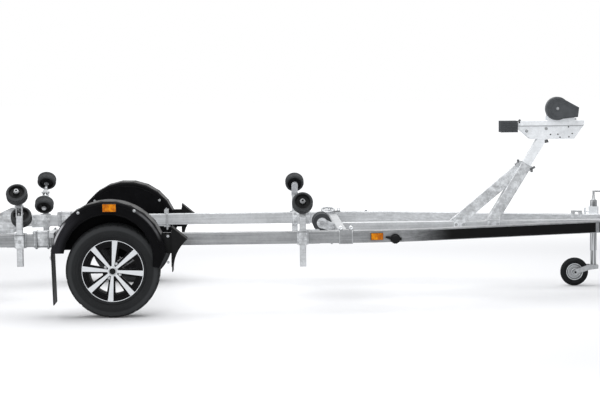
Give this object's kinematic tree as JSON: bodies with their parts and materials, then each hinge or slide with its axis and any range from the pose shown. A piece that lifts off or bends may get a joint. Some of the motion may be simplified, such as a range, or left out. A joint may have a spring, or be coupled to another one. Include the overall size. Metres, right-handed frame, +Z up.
{
  "type": "boat trailer",
  "caption": "Single-axle galvanised roller boat trailer with V drawbar, winch post, mudguards, wheel chocks and a jockey wheel, parked on its jockey wheel",
  "frame": {"origin": "bottom centre of the bounding box, on the ground the wheels stand on", "axes": "+X to the coupling, +Y to the trailer's left side, +Z up"},
  "size_m": [5.479, 2.052, 1.348],
  "materials": {
    "galvanised_steel": "hot-dip galvanised, faint spangle",
    "zinc_plate": "bright zinc plated",
    "alloy": "machined spokes over black paint",
    "road_tyre": "moulded tread and side wall",
    "roller_rubber": "ribbed tread rubber",
    "flap_rubber": "smooth rubber sheet",
    "guard_plastic": "glossy injection moulded",
    "black_plastic": "fine grain moulded",
    "amber_lens": "clear prismatic lens",
    "red_lens": "clear prismatic lens"
  },
  "bodies": {
    "root": {"axle_arm_left": "galvanised_steel", "axle_arm_right": "galvanised_steel", "axle_tube": "galvanised_steel", "beam_sleeves": "galvanised_steel", "bow_stop": "roller_rubber", "chock_holders": "black_plastic", "coupling_handle": "black_plastic", "coupling_head": "galvanised_steel", "drawbar_left": "galvanised_steel", "drawbar_right": "galvanised_steel", "jockey_clamp": "zinc_plate", "jockey_tube": "zinc_plate", "keel_beam": "galvanised_steel", "keel_bracket_mid": "galvanised_steel", "keel_bracket_rear": "galvanised_steel", "light_bar": "galvanised_steel", "marker_lamps": "amber_lens", "mid_cross_member": "galvanised_steel", "mud_flaps": "flap_rubber", "mudguard_arms": "galvanised_steel", "mudguard_left": "guard_plastic", "mudguard_right": "guard_plastic", "nose_plates": "galvanised_steel", "plug_holder": "galvanised_steel", "post_clamps": "galvanised_steel", "post_front_left": "galvanised_steel", "post_front_right": "galvanised_steel", "post_rear_left": "galvanised_steel", "post_rear_right": "galvanised_steel", "rear_cross_member": "galvanised_steel", "side_beam_left": "galvanised_steel", "side_beam_right": "galvanised_steel", "tail_lamps": "red_lens", "wheel_chocks": "black_plastic", "winch_channel": "galvanised_steel", "winch_cover": "black_plastic", "winch_frame": "zinc_plate", "winch_handle": "zinc_plate", "winch_mast": "galvanised_steel", "winch_stand": "galvanised_steel"},
    "wheel_right": {"tyre_right": "road_tyre", "rim_right": "alloy"},
    "wheel_left": {"tyre_left": "road_tyre", "rim_left": "alloy"},
    "roller_front_right": {"roller_front_right": "roller_rubber"},
    "roller_front_left": {"roller_front_left": "roller_rubber"},
    "rocker_rear_right": {"rocker_rear_right": "zinc_plate"},
    "roller_rear_right_outer": {"roller_rear_right_outer": "roller_rubber"},
    "roller_rear_right_inner": {"roller_rear_right_inner": "roller_rubber"},
    "rocker_rear_left": {"rocker_rear_left": "zinc_plate"},
    "roller_rear_left_outer": {"roller_rear_left_outer": "roller_rubber"},
    "roller_rear_left_inner": {"roller_rear_left_inner": "roller_rubber"},
    "keel_roller_mid": {"keel_roller_mid": "roller_rubber"},
    "keel_roller_rear": {"keel_roller_rear": "roller_rubber"},
    "winch_drum": {"winch_drum": "zinc_plate"},
    "jockey_leg": {"jockey_leg": "zinc_plate"},
    "jockey_fork": {"jockey_fork": "zinc_plate"},
    "jockey_wheel": {"jockey_tyre": "roller_rubber", "jockey_rim": "zinc_plate"}
  },
  "joints": [
    {"name": "wheel_right_spin", "type": "hinge", "parent": "root", "child": "wheel_right", "pos_m": [-1.4605, -0.896, 0.298], "axis": [0, 1, 0], "continuous": true},
    {"name": "wheel_left_spin", "type": "hinge", "parent": "root", "child": "wheel_left", "pos_m": [-1.4605, 0.896, 0.298], "axis": [0, 1, 0], "continuous": true},
    {"name": "roller_front_right_spin", "type": "hinge", "parent": "root", "child": "roller_front_right", "pos_m": [-0.2535, -0.769, 0.698], "axis": [0, -0.9063, 0.4226], "continuous": true},
    {"name": "roller_front_left_spin", "type": "hinge", "parent": "root", "child": "roller_front_left", "pos_m": [-0.2595, 0.769, 0.729], "axis": [0, 0.9063, 0.4226], "continuous": true},
    {"name": "rocker_rear_right_tilt", "type": "hinge", "parent": "root", "child": "rocker_rear_right", "pos_m": [-2.0635, -0.769, 0.7], "axis": [1, 0, 0], "range_deg": [0, 80]},
    {"name": "roller_rear_right_outer_spin", "type": "hinge", "parent": "rocker_rear_right", "child": "roller_rear_right_outer", "pos_m": [-2.0635, -0.86476, 0.78035], "axis": [0, -0.766, 0.6428], "continuous": true},
    {"name": "roller_rear_right_inner_spin", "type": "hinge", "parent": "rocker_rear_right", "child": "roller_rear_right_inner", "pos_m": [-2.0635, -0.67324, 0.61965], "axis": [0, -0.766, 0.6428], "continuous": true},
    {"name": "rocker_rear_left_tilt", "type": "hinge", "parent": "root", "child": "rocker_rear_left", "pos_m": [-2.0745, 0.769, 0.674], "axis": [-1, 0, 0], "range_deg": [0, 80]},
    {"name": "roller_rear_left_outer_spin", "type": "hinge", "parent": "rocker_rear_left", "child": "roller_rear_left_outer", "pos_m": [-2.0745, 0.86476, 0.75435], "axis": [0, 0.766, 0.6428], "continuous": true},
    {"name": "roller_rear_left_inner_spin", "type": "hinge", "parent": "rocker_rear_left", "child": "roller_rear_left_inner", "pos_m": [-2.0745, 0.67324, 0.59365], "axis": [0, 0.766, 0.6428], "continuous": true},
    {"name": "keel_roller_mid_spin", "type": "hinge", "parent": "root", "child": "keel_roller_mid", "pos_m": [-0.0985, 0, 0.505], "axis": [0, 1, 0], "continuous": true},
    {"name": "keel_roller_rear_spin", "type": "hinge", "parent": "root", "child": "keel_roller_rear", "pos_m": [-2.3655, 0, 0.54], "axis": [0, 1, 0], "continuous": true},
    {"name": "winch_drum_spin", "type": "hinge", "parent": "root", "child": "winch_drum", "pos_m": [1.5165, 0, 1.268], "axis": [0, 1, 0], "continuous": true},
    {"name": "jockey_leg_height", "type": "slide", "parent": "root", "child": "jockey_leg", "axis": [0, 0, 1], "range_m": [-0.14, 0.08]},
    {"name": "jockey_fork_swivel", "type": "hinge", "parent": "jockey_leg", "child": "jockey_fork", "pos_m": [1.8465, 0.29778, 0.15], "axis": [0, 0, 1], "continuous": true},
    {"name": "jockey_wheel_spin", "type": "hinge", "parent": "jockey_fork", "child": "jockey_wheel", "pos_m": [1.7105, 0.29778, 0.1], "axis": [0, 1, 0], "continuous": true}
  ]
}
